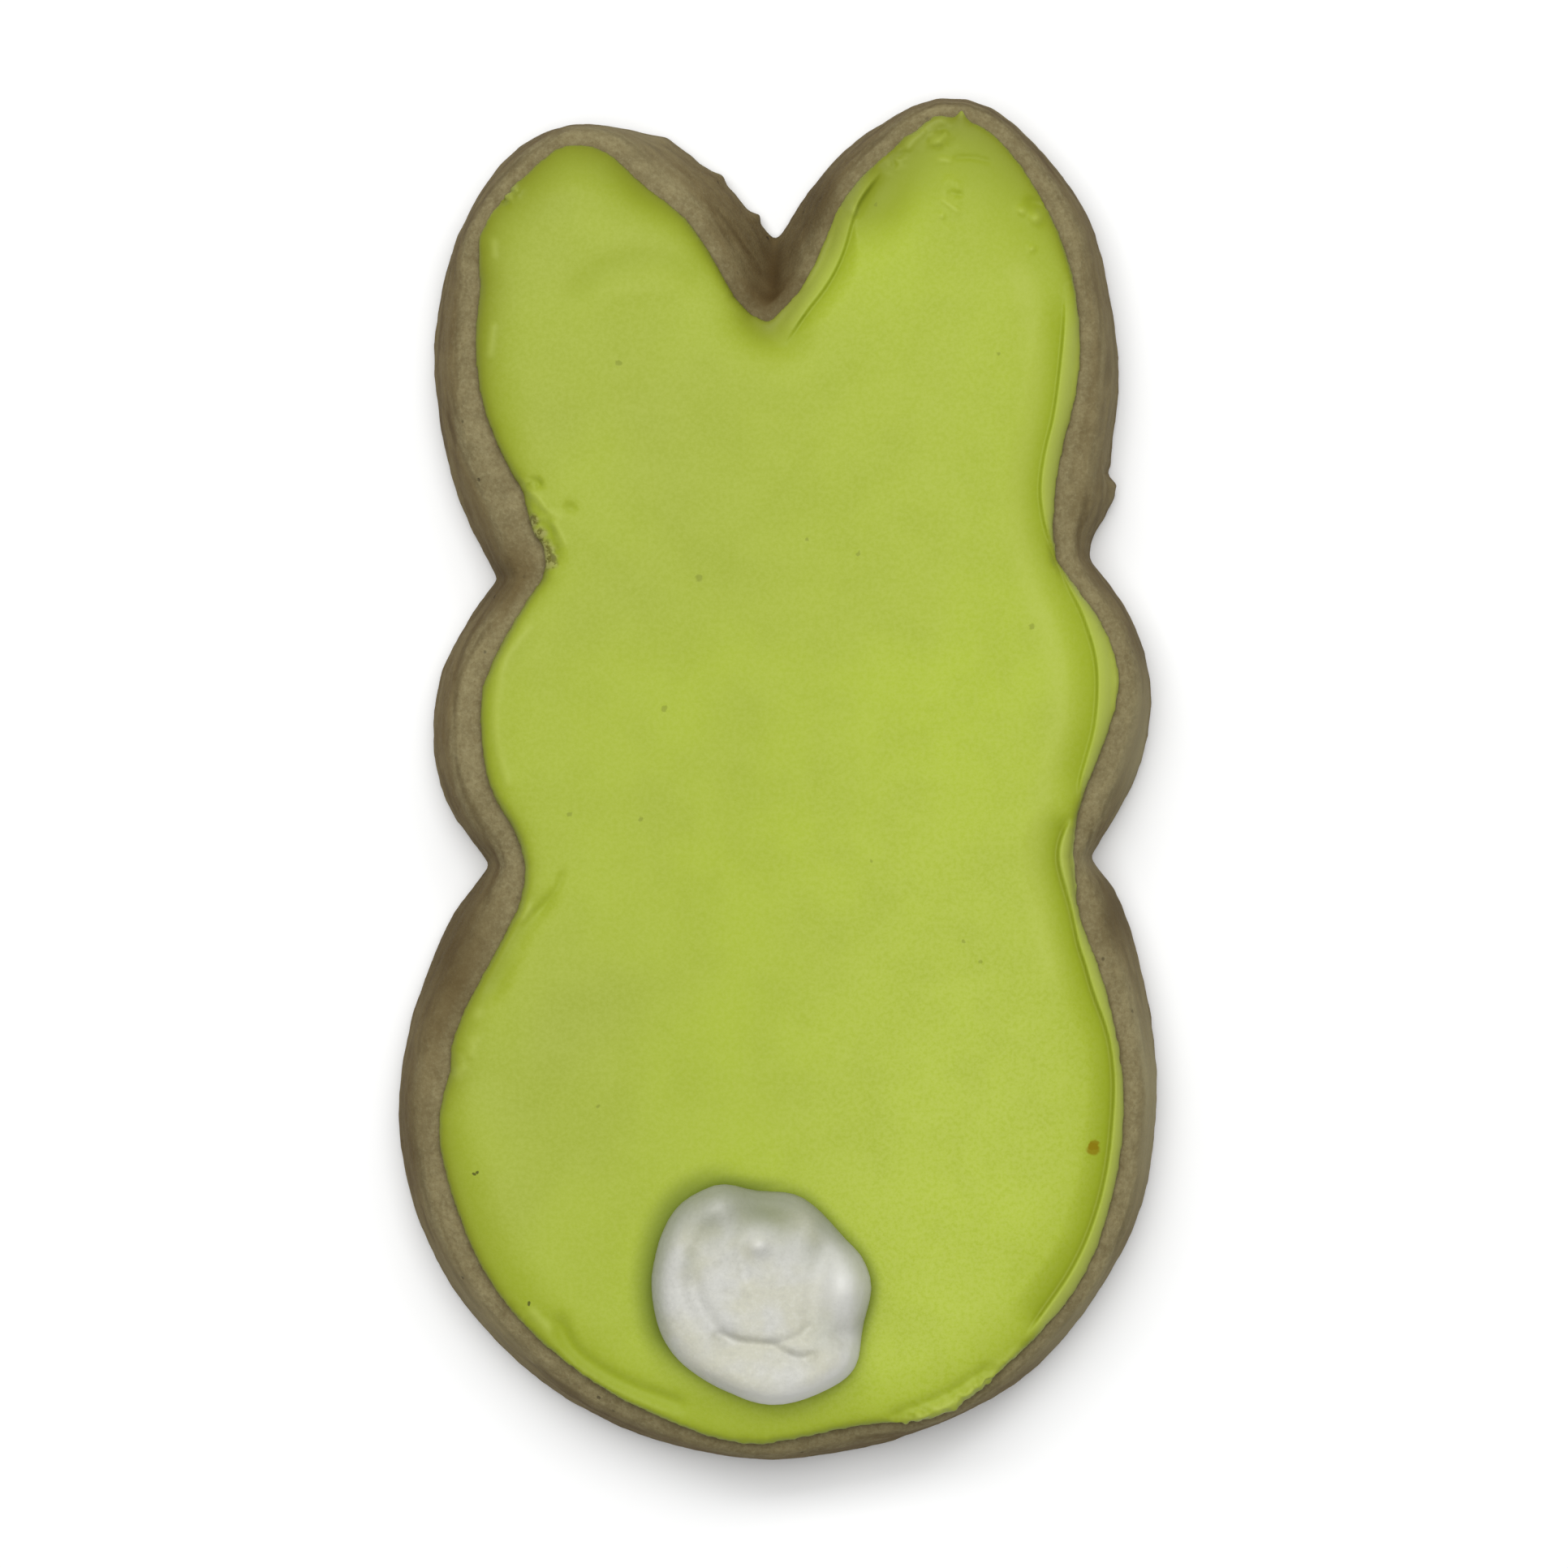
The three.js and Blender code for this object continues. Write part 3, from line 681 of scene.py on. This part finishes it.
def biscuit_material():
    paint = Paint("baked_biscuit")
    wall_dark = shade(108, 91, 57)
    pale_flour_and_light = shade(172, 163, 124)
    layers = paint.noise(2.6, place=paint.vector("MULTIPLY", paint.place, (0.6, 0.6, 2.0)))
    mottle = paint.noise(1.5, 4, 0.65)
    fine = paint.noise(0.35, 3, 0.7)
    baked = paint.between(layers * 0.6 + mottle * 0.4, 0.32, 0.62)
    walls = paint.blend(baked, wall_dark, shade(128, 113, 76))
    rims = paint.blend(paint.between(mottle, 0.3, 0.7), shade(130, 119, 84), shade(148, 137, 99))
    # the walls browner and the top rim paler, partly by their own bake and partly as painted shade and
    # light by how they face
    color = paint.blend(paint.painted("rim"), walls, rims)
    grainy = paint.painted("rim") * 0.2 + 0.12
    color = paint.blend(paint.between(fine, 0.5, 0.68) * grainy, color, pale_flour_and_light)
    color = paint.blend(paint.between(fine, 0.5, 0.34) * grainy, color, wall_dark)
    # painted shade in patches, creases, at the foot and along the icing, and painted light on the paler
    # walls
    color = paint.coats(color, [("shade", 0.85, shade(80, 63, 33)), ("floury", 0.75, pale_flour_and_light)])
    pores = paint.cells(1.15)
    some = paint.between(paint.noise(2.2, 1), 0.58, 0.7)
    color = paint.blend(paint.between(pores, 0.16, 0.07) * some * 0.6, color, shade(60, 50, 32))
    pits = paint.between(pores, 0.2, 0.06) * some
    paint.set(
        Base_Color=color,
        Roughness=0.82 + mottle * 0.12,
        Specular_IOR_Level=0.12,
        Normal=paint.bump(fine + mottle * 0.8 - pits * 1.2, 0.09),
    )
    return paint.material


def tail_material():
    paint = Paint("white_icing")
    drift = paint.noise(3.5)
    fine = paint.noise(0.4, 2, 0.7)
    color = paint.blend(paint.between(drift, 0.35, 0.65), shade(208, 208, 201), shade(205, 204, 186))
    color = paint.blend(paint.between(fine, 0.5, 0.3) * 0.3, color, shade(186, 186, 176))
    color = paint.blend(paint.between(fine, 0.5, 0.7) * 0.3, color, shade(224, 224, 214))
    color = paint.coats(color, [
        ("rim", 0.6, shade(158, 161, 146)),
        ("tinge", 0.8, shade(134, 140, 104)),
        ("bright", 0.8, shade(238, 238, 232)),
    ])
    paint.set(
        Base_Color=color,
        Roughness=0.5 + drift * 0.12,
        Specular_IOR_Level=0.3,
        Normal=paint.bump(fine + paint.noise(1.2), 0.025),
    )
    return paint.material


# ---------------------------------------------------------------- the three pieces


def reshape_top(points, facing, base, inset, heights):
    """Gives the upper side new heights over a base, and scales the round edge to meet them."""
    spots = points[:, :2]
    # the round edge is scaled by the height of the level ring just inside it
    level = (np.abs(inset - 1.3 * ROUND_EDGE) < 0.3 * ROUND_EDGE) & (facing[:, 2] > 0.2)
    tree = kdtree.KDTree(int(level.sum()))
    for i in np.flatnonzero(level):
        tree.insert((*spots[i], 0), int(i))
    tree.balance()
    scale = np.ones(len(points))
    wanted = heights(spots, np.maximum(inset, ROUND_EDGE))
    for i in np.flatnonzero(inset < ROUND_EDGE):
        inner = points[tree.find((*spots[i], 0))[1], 2] - base
        scale[i] = wanted[i] / inner
    low = base + (points[:, 2] - base) * scale
    upper = (facing[:, 2] > 0) & (points[:, 2] > base + 0.2)
    share = ramp_up(inset, 0.25 * ROUND_EDGE, ROUND_EDGE) * upper
    points[:, 2] = low + share * (base + heights(spots, inset) - low)


def sink(points, top, depth, reach):
    """Sinks the lowest part of a piece into the top that it lies on, so that no gap shows."""
    points[:, 2] -= depth * ramp_up(points[:, 2], top + reach, top)


def lips_near(spots, reach):
    """For each lip: the spots near it, how far outside its crease they are, and its strength.

    A lip runs out over its last 3 mm, and between 2.8 and 4 mm outside its crease.
    """
    for lip in LIPS:
        path = rounded(lip["path"])
        chosen = near(spots, path, reach)
        away, along = path_distance(spots[chosen], path)
        length = step_lengths(path).sum()
        ends = ramp_up(along * length, 0, lip["start"]) * ramp_up((1 - along) * length, 0, 3)
        yield lip, chosen, away, ends * ramp_up(away, 4, 2.8)


def raise_lips(thick, spots, inset):
    """Lets the icing fall to the crease of each lip, and rise steeply to the lip beyond it."""
    for lip, chosen, away, strength in lips_near(spots, 5):
        closeness = np.clip(1 - np.abs(away) / lip["slope"], 0, 1)
        inner = np.minimum(thick[chosen], ICING_THICKNESS - lip["fall"] * closeness**1.5)
        # the lip rolls down from its crest, and ends in a soft edge
        roll = 0.6 * np.clip(away, 0, 1.3) ** 1.5
        outer = lip["crest"] - roll - 0.5 * np.exp(-inset[chosen] / 0.45)
        shaped = inner + ramp_up(away, -0.12, 0.28) * (outer - inner)
        thick[chosen] += strength * (shaped - thick[chosen])


def icing_thickness(spots, inset):
    """How thick the icing lies at each spot, from its distance to the edge and its marks."""
    # thinner by 0.3 of itself at the very edge
    thick = ICING_THICKNESS * (1 - 0.3 * np.exp(-inset / 0.9))
    thick += marks_height(spots, ICING_FALLS)
    raise_lips(thick, spots, inset)
    flat = at_level_zero(spots)
    for mark, chosen, cover in strokes(spots, ICING_CRAGS):
        thick[chosen] += mark["height"] * cover * grain(flat[chosen], mark["size"], CRAG_SEED)
    thick += marks_height(spots, ICING_MARKS)
    swell = ramp_up(inset, 0.1, 2)
    thick += swell * (0.05 * grain(flat, (9, 18, 9), seed=3) + 0.02 * grain(flat, 2.5, seed=5))
    return np.maximum(thick, 0.25)


def push_out(points, knobs, share):
    """Moves the points near each knob sideways."""
    for x, y, along_x, along_y, reach in knobs:
        cover = share * dab(points[:, :2], (x, y), reach)
        points[:, 0] += along_x * cover
        points[:, 1] += along_y * cover


def refine(made, paths, reach):
    """Halves the faces of the icing's upper side that lie near some paths."""
    points = places(made)
    close = np.zeros(len(points), bool)
    for path in paths:
        chosen = near(points[:, :2], path, reach)
        close[chosen] |= distance_to(points[chosen], path) < reach
    close &= points[:, 2] > ICING_RIM
    made.verts.index_update()
    edges = [e for e in made.edges if close[e.verts[0].index] and close[e.verts[1].index]]
    bmesh.ops.subdivide_edges(made, edges=edges, cuts=1, use_grid_fill=True)
    made.verts.index_update()


def shape_icing(made, edge):
    """Gives the icing its upper side, its ragged edge and its knobs."""
    points = places(made)
    facing = facings(made)
    inset = distance_to(points, edge)
    reshape_top(points, facing, BISCUIT_TOP, inset, icing_thickness)
    ragged = 0.06 * grain(points, (1.1, 1.1, 3), seed=8) + 0.04 * grain(points, (0.4, 0.4, 1), seed=9)
    for mark, chosen, cover in strokes(points[:, :2], ICING_CRAGS):
        ragged[chosen] += mark["height"] * cover * grain(points[chosen], mark["size"], seed=10)
    at_edge = (1 - ramp_up(inset, 0.2, 1.2)) * (points[:, 2] > BISCUIT_TOP + 0.1)
    points[:, :2] += facing[:, :2] * (at_edge * ragged)[:, None]
    push_out(points, ICING_KNOBS, at_edge)
    sink(points, BISCUIT_TOP, depth=0.3, reach=0.35)
    move_to(made, points)
    merge_hidden(made, (points[:, 2] < BISCUIT_TOP) & (inset > 1.2))


def spread_icing():
    made = fine_copy("icing", voxel=0.28, passes=6)
    creases = [rounded(lip["path"]) for lip in LIPS]
    small = [rounded(mark["path"]) for mark in ICING_MARKS if mark["width"] < 0.5]
    crags = [rounded(mark["path"]) for mark in ICING_CRAGS]
    refine(made, creases + small, reach=0.75)
    refine(made, crags, reach=1.2)
    edge = outline_of("icing", ICING_RIM)
    tail_edge = outline_of("tail", TAIL_RIM)
    shape_icing(made, edge)
    icing = finished(made, "spread_icing", icing_material(), {
        "deep": icing_thinness_and_shade,
        "lip": icing_lip,
        "edge": lambda p: icing_thin_edge_and_shade(p, edge),
        "pale": icing_highlights,
        "crumb": lambda p: patches(p[:, :2], ICING_CRUMBS),
        "shadow": lambda p: beside_tail(p, tail_edge),
    })
    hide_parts("icing")


def icing_thinness_and_shade(points):
    """Where the icing's colour is deeper: where it is thin, partly as the biscuit shows through and
    partly as painted shade on its falls, and painted shade in the lips' creases and the marks' dents.
    """
    spots = points[:, :2]
    # deeper where thin, partly as the biscuit shows through and partly as painted shade on the falls
    thin = np.clip(ICING_TOP - 0.03 - points[:, 2], 0, 1)
    for _, chosen, away, strength in lips_near(spots, 3):
        thin[chosen] *= 1 - strength * ramp_up(away, 0.1, 0.4)
        # painted shade in the lip's crease
        thin[chosen] = np.maximum(thin[chosen], 0.8 * strength * bell(away / 0.3))
    # painted shade in the hollows of some marks
    deep_marks = [mark for mark in ICING_MARKS if "deep" in mark]
    for mark, chosen, cover in strokes(spots, deep_marks):
        thin[chosen] = np.maximum(thin[chosen], mark["deep"] * cover)
    return thin


def icing_lip(points):
    """Where the icing is a lip beyond a crease."""
    spots = points[:, :2]
    amount = np.zeros(len(spots))
    for lip, chosen, away, strength in lips_near(spots, 3):
        shown = lip["pale"] * strength * ramp_up(away, 0.1, 0.4)
        amount[chosen] = np.maximum(amount[chosen], shown)
    return amount


def icing_highlights(points):
    """Where the icing gets a painted highlight: along the shoulder that bends toward the lips, on
    raised marks, and on the tops of the crags.
    """
    spots = points[:, :2]
    amount = 0.4 * stroke(spots, rounded(SHOULDER), 1.1)
    raised = [mark for mark in ICING_MARKS if mark["height"] > 0.06 and mark["width"] < 0.6]
    for mark, chosen, cover in strokes(spots, raised):
        amount[chosen] = np.maximum(amount[chosen], 0.4 * cover)
    flat = at_level_zero(spots)
    for mark, chosen, cover in strokes(spots, ICING_CRAGS):
        lumps = ramp_up(grain(flat[chosen], mark["size"], CRAG_SEED), -0.1, 0.4)
        amount[chosen] = np.maximum(amount[chosen], 2 * mark["height"] * cover * lumps)
    return amount


# Crumbs of biscuit that stick in the icing: x, y, reach along x and y, strength
ICING_CRUMBS = [
    (-19.3, 20.3, 0.6, 0.6, 1.0),
    (-18.8, 19.2, 0.7, 0.7, 1.0),
    (-18.6, 17.9, 1.1, 1.1, 1.0),
    (-18.0, 17.2, 0.8, 0.8, 1.0),
]

# Stretches where the icing darkens more broadly toward its edge, as it thins and with painted shade: x,
# y, radius, added breadth
EDGE_BREADTHS = [
    (1.8, 39.0, 1.6, 0.35),
    (3.6, 42.4, 2.4, 0.5),
    (12.0, 50.0, 7.5, 1.7),
    (-15.0, 49.0, 8.0, 1.2),
    (-23.8, 38.0, 8.0, 1.0),
    (-0.6, 36.5, 2.4, 1.5),
    (7.8, 45.6, 3.0, 1.2),
    (-24.4, -23.0, 12.0, 0.5),
]


def icing_thin_edge_and_shade(points, edge):
    """Where the icing darkens toward its edge over the biscuit's rim, partly as it thins and partly as
    painted shade where it rolls over, and painted shade at the bottoms of the lips' creases.
    """
    spots = points[:, :2]
    breadth = np.full(len(spots), 0.45)
    for x, y, radius, more in EDGE_BREADTHS:
        breadth += more * dab(spots, (x, y), radius)
    amount = np.exp(-distance_to(points, edge) / breadth)
    amount *= 1 - 0.35 * ramp_up(points[:, 1], -40, -50)
    # painted shade at the bottom of each lip's crease
    for lip, chosen, away, strength in lips_near(spots, 2):
        crease = lip["crease"] * strength * bell((away + 0.05) / 0.28)
        amount[chosen] = np.maximum(amount[chosen], crease)
    return amount


def beside_tail(points, tail_edge):
    """Where the icing lies in the tail's shade, most of all to its left and upper left."""
    x, y = points[:, 0], points[:, 1]
    away = distance_to(points, tail_edge)
    above = 0.6 * ramp_up(y, -46, -42) * ramp_up(away, 1.1, 0)
    left = 0.95 * ramp_up(x, 0, -8) * ramp_up(y, -48, -43) * ramp_up(away, 2.2, 0)
    corner = ramp_up(y - x, -35, -30) * ramp_up(away, 1.4, 0)
    return np.maximum.reduce([above, left, corner])


# Small places where the biscuit's wall stands out: x, y, how far along x and y, and reach
WALL_KNOBS = [
    (-1.6, 44.8, 0.45, 0.25, 0.5),
    (-2.2, 45.9, 0.0, -0.2, 0.45),
    (26.4, 22.6, 0.3, 0.0, 0.7),
    (26.5, 23.3, 0.3, 0.0, 0.4),
    (26.3, 24.3, -0.3, 0.0, 0.5),
    (-4.6, 47.8, 0.22, 0.2, 0.6),
    (-6.2, 48.9, -0.1, -0.12, 0.6),
    (-9.0, 50.7, 0.1, 0.24, 0.8),
]


def shape_biscuit(made, edge):
    """Gives the biscuit its layers, lumps and knobs outside the icing's edge."""
    points = places(made)
    facing = facings(made)
    inset = inset_from(points, edge, (0, 0))
    side = 1 - np.abs(facing[:, 2])
    layers = 0.05 * grain(points, (5, 5, 1.6), seed=11) + 0.03 * grain(points, (2.2, 2.2, 0.9), seed=12)
    lumps = 0.06 * grain(points, 1.8, seed=13) + 0.035 * grain(points, 0.7, seed=14)
    off_floor = ramp_up(points[:, 2], 0, 1.2)
    rough = (layers * side + lumps) * off_floor * ramp_up(inset, 1.0, 0.2)
    points += facing * rough[:, None]
    push_out(points, WALL_KNOBS, off_floor * ramp_up(points[:, 2], 8.5, 6))
    points[:, 2] = np.maximum(points[:, 2], 0)
    move_to(made, points)
    merge_hidden(made, (inset > 1.5) & ((facing[:, 2] > 0.9) | (points[:, 2] < 0.05)))


def baked_biscuit():
    made = fine_copy("cookie", voxel=0.26, passes=5)
    edge = outline_of("icing", ICING_RIM)
    shape_biscuit(made, edge)
    biscuit = finished(made, "baked_biscuit", biscuit_material(), {
        "rim": lambda p: biscuit_rim(p, edge),
        "floury": biscuit_lit_wall,
        "shade": lambda p: biscuit_shade(p, edge),
    })
    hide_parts("cookie")


# Patches of the biscuit, each x, y, reach along x and y, strength: where its top edge has no
# paler rim and is as brown as the wall, where painted shade darkens it, where the crease's painted
# shade starts only a little away from the icing's edge, and where painted light makes the wall paler
BROWN_RIM = [
    (-20.8, 15.4, 3.6, 3.6, 0.9),
    (-25.0, -19.0, 4.0, 9.0, 0.8),
    (25.0, 31.0, 3.0, 14.0, 0.5),
    (-0.4, 38.6, 3.4, 3.0, 1.0),
    (-4.6, 42.0, 2.6, 3.4, 0.7),
    (5.2, 43.5, 3.2, 5.0, 0.9),
]
SHADE_PATCHES = [
    (-0.2, 39.8, 2.8, 3.8, 0.7),
    (-0.6, 38.4, 4.2, 3.2, 0.85),
    (3.4, 45.4, 2.6, 4.0, 0.65),
    (-21.8, 15.6, 3.0, 3.0, 0.5),
    (-25.6, -14.0, 3.4, 8.0, 0.7),
    (-29.2, -27.0, 2.5, 6.0, 0.35),
    (29.2, 10.8, 1.4, 2.4, 0.6),
    (26.8, -10.8, 1.8, 3.0, 0.7),
]
CREASE_SHADE = [
    (-0.3, 39.6, 1.1, 4.0, 1.2),
    (-0.3, 38.0, 2.0, 1.5, 1.2),
]
LIT_WALL_PATCHES = [
    (27.0, 30.0, 4.0, 12.0, 0.35),
    (29.4, 1.0, 3.0, 8.0, 0.9),
    (25.2, -6.2, 1.6, 1.6, 0.5),
    (30.0, -26.0, 5.0, 11.0, 0.9),
    (24.0, -42.0, 6.0, 7.0, 0.7),
    (-22.0, -41.0, 6.0, 7.0, 0.5),
    (-11.0, 50.6, 4.0, 4.0, 0.4),
]


def around_edge(points, edge, sizes, seed):
    """Streaks that follow the outline: noise with sizes along it, away from it and in height."""
    away, along = path_distance(points[:, :2], edge)
    length = step_lengths(edge).sum()
    return grain(np.column_stack([along * length, np.abs(away), points[:, 2]]), sizes, seed)


def biscuit_rim(points, edge):
    """Where the dough's top shows as a paler rim, partly by its own bake and partly as painted light on
    the upward-facing top.
    """
    streaks = 0.9 * around_edge(points, edge, (6, 0.7, 2), seed=15)
    rim = ramp_up(points[:, 2] + streaks, 6.8, 8.4)
    beyond = ramp_up(distance_to(points, edge), 0.5, 1.2)
    return rim * (1 - beyond * patches(points[:, :2], BROWN_RIM))


def biscuit_shade(points, edge):
    """Where the dough is darker: painted shade in patches, in the notch's crease, at its foot and its
    lower end, a thin painted shadow along the icing, and browner streaks.
    """
    spots = points[:, :2]
    foot = 0.3 * ramp_up(points[:, 2], 2.6, 0.4)
    bottom = 0.1 * ramp_up(points[:, 1], -49, -53)
    away = distance_to(points, edge)
    contact = 0.2 * ramp_up(away, 0.6, 0.1)
    streaks = 0.5 * ramp_up(around_edge(points, edge, (5, 0.45, 1.4), seed=16), 0.05, 0.5)
    streaks *= ramp_up(points[:, 2], 8.9, 8.0)
    crease = patches(spots, CREASE_SHADE) * ramp_up(away, 0.6, 1.0)
    return np.maximum.reduce([patches(spots, SHADE_PATCHES), crease, foot, bottom, contact, streaks])


def biscuit_lit_wall(points):
    """Where painted light makes the wall paler."""
    wall = ramp_up(points[:, 2], 8.8, 7.6) * ramp_up(points[:, 2], 1, 3.5)
    return patches(points[:, :2], LIT_WALL_PATCHES) * wall


def tail_height(spots, inset):
    """How high the tail stands at each spot over the green icing: a dome with its marks."""
    turn = TAIL_TURN - 1.4 * ramp_up(spots[:, 1], -42, -47)
    short = 1 - np.minimum(inset / turn, 1)
    # the dome starts from 0.28 of its height at the edge
    height = TAIL_TOP * np.sqrt(1 - 0.92 * short**3)
    height += marks_height(spots, TAIL_MARKS) * ramp_up(inset, -0.8, 1.6)
    flat = at_level_zero(spots)
    height += 0.06 * grain(flat, 2.4, seed=21) + 0.02 * grain(flat, 0.8, seed=22)
    return np.maximum(height, 0.8)


def shape_tail(made, edge):
    """Gives the tail its dome with its relief, and its wavy side."""
    points = places(made)
    facing = facings(made)
    inset = np.maximum(inset_from(points, edge, TAIL_MIDDLE), 0)
    reshape_top(points, facing, ICING_TOP, inset, tail_height)
    swell = 0.08 * grain(points, 2.4, seed=23) * ramp_up(points[:, 2], ICING_TOP, ICING_TOP + 1)
    points[:, :2] += facing[:, :2] * swell[:, None]
    sink(points, ICING_TOP, depth=0.25, reach=0.5)
    move_to(made, points)


def icing_tail():
    made = fine_copy("tail", voxel=0.13, passes=6)
    edge = outline_of("tail", TAIL_RIM)
    shape_tail(made, edge)
    tail = finished(made, "icing_tail", tail_material(), {
        "tinge": tail_tinge,
        "rim": lambda p: tail_rim(p, edge),
        "bright": lambda p: tail_bright(p, edge),
    })
    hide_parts("tail")


# Hollows of the tail that take on a green-grey shade, and places that catch more light, each
# x, y, reach along x and y, strength
TAIL_SHADES = [
    (-0.9, -33.8, 3.8, 2.7, 1.0),
    (-5.6, -34.6, 2.8, 2.2, 0.6),
    (3.0, -35.8, 1.8, 2.8, 0.55),
    (3.8, -43.0, 1.4, 1.6, 0.35),
    (-6.7, -37.4, 1.0, 1.6, 0.35),
]
TAIL_BRIGHTS = [
    (5.2, -39.8, 2.5, 2.3, 0.8),
    (*TAIL_NUB, 0.9, 0.9, 0.5),
]


def tail_tinge(points):
    """Where hollows of the tail reflect the green icing, but not on the nub."""
    spots = points[:, :2]
    return patches(spots, TAIL_SHADES) * (1 - dab(spots, TAIL_NUB, 1.1))


def tail_rim(points, edge):
    """Where the tail turns down into its own shade, but not on the lobe or the lower side."""
    turn = ramp_up(distance_to(points, edge), 1.6, 0.1)
    lobe = dab(points[:, :2], TAIL_LOBE, 2.2)
    lower = ramp_up(points[:, 1], -42, -46)
    return turn * (1 - lobe) * (1 - lower)


def tail_bright(points, edge):
    """Where the tail catches more light: its lower right edge, the lobe and the nub."""
    x, y = points[:, 0], points[:, 1]
    corner = ramp_up(distance_to(points, edge), 1.8, 0.3) * ramp_up(y, -42, -46) * ramp_up(x, -5, 0)
    return np.maximum(corner, patches(points[:, :2], TAIL_BRIGHTS))


# ---------------------------------------------------------------- floor, light and camera


def pale_floor():
    """A table that reaches 3 m to each side."""
    made = bmesh.new()
    bmesh.ops.create_grid(made, x_segments=1, y_segments=1, size=3)
    mesh = bpy.data.meshes.new("floor")
    made.to_mesh(mesh)
    made.free()
    paint = Paint("pale_table")
    paint.set(Base_Color=FLOOR_COLOR, Roughness=0.9, Specular_IOR_Level=0.0)
    mesh.materials.append(paint.material)
    floor = put("floor", mesh)


def soft_lamp(name, azimuth, elevation, width, depth, power):
    """A lamp panel a metre away that looks at the cookie; azimuth 0 is +X and 90 is +Y."""
    lamp = bpy.data.lights.new(name, "AREA")
    lamp.shape = "RECTANGLE"
    lamp.size = width
    lamp.size_y = depth
    lamp.energy = power
    a, e = math.radians(azimuth), math.radians(elevation)
    way = Vector((math.cos(e) * math.cos(a), math.cos(e) * math.sin(a), math.sin(e)))
    placed = put(name, lamp)
    placed.location = way
    placed.rotation_euler = way.to_track_quat("Z", "Y").to_euler()


def studio_light():
    world = bpy.data.worlds.new("studio")
    world.use_nodes = True
    sky = world.node_tree.nodes["Background"].inputs
    sky["Color"].default_value = (1, 1, 1, 1)
    sky["Strength"].default_value = 0.3
    bpy.context.scene.world = world
    soft_lamp("ceiling", azimuth=110, elevation=85, width=0.8, depth=0.6, power=6.3)
    soft_lamp("window", azimuth=98, elevation=62, width=1.25, depth=0.25, power=5.15)
    bpy.context.scene.view_settings.view_transform = "Standard"


def camera_above():
    """A long lens 0.9 m over the cookie, looking straight down a touch beside its middle."""
    lens = bpy.data.cameras.new("camera")
    lens.lens = 259.5
    lens.sensor_width = 36
    lens.clip_start = 0.05
    lens.clip_end = 20
    camera = put("camera", lens)
    camera.location = (0.484 * MM, -0.419 * MM, 0.9)
    bpy.context.scene.camera = camera


studio_light()
camera_above()
pale_floor()
baked_biscuit()
spread_icing()
icing_tail()
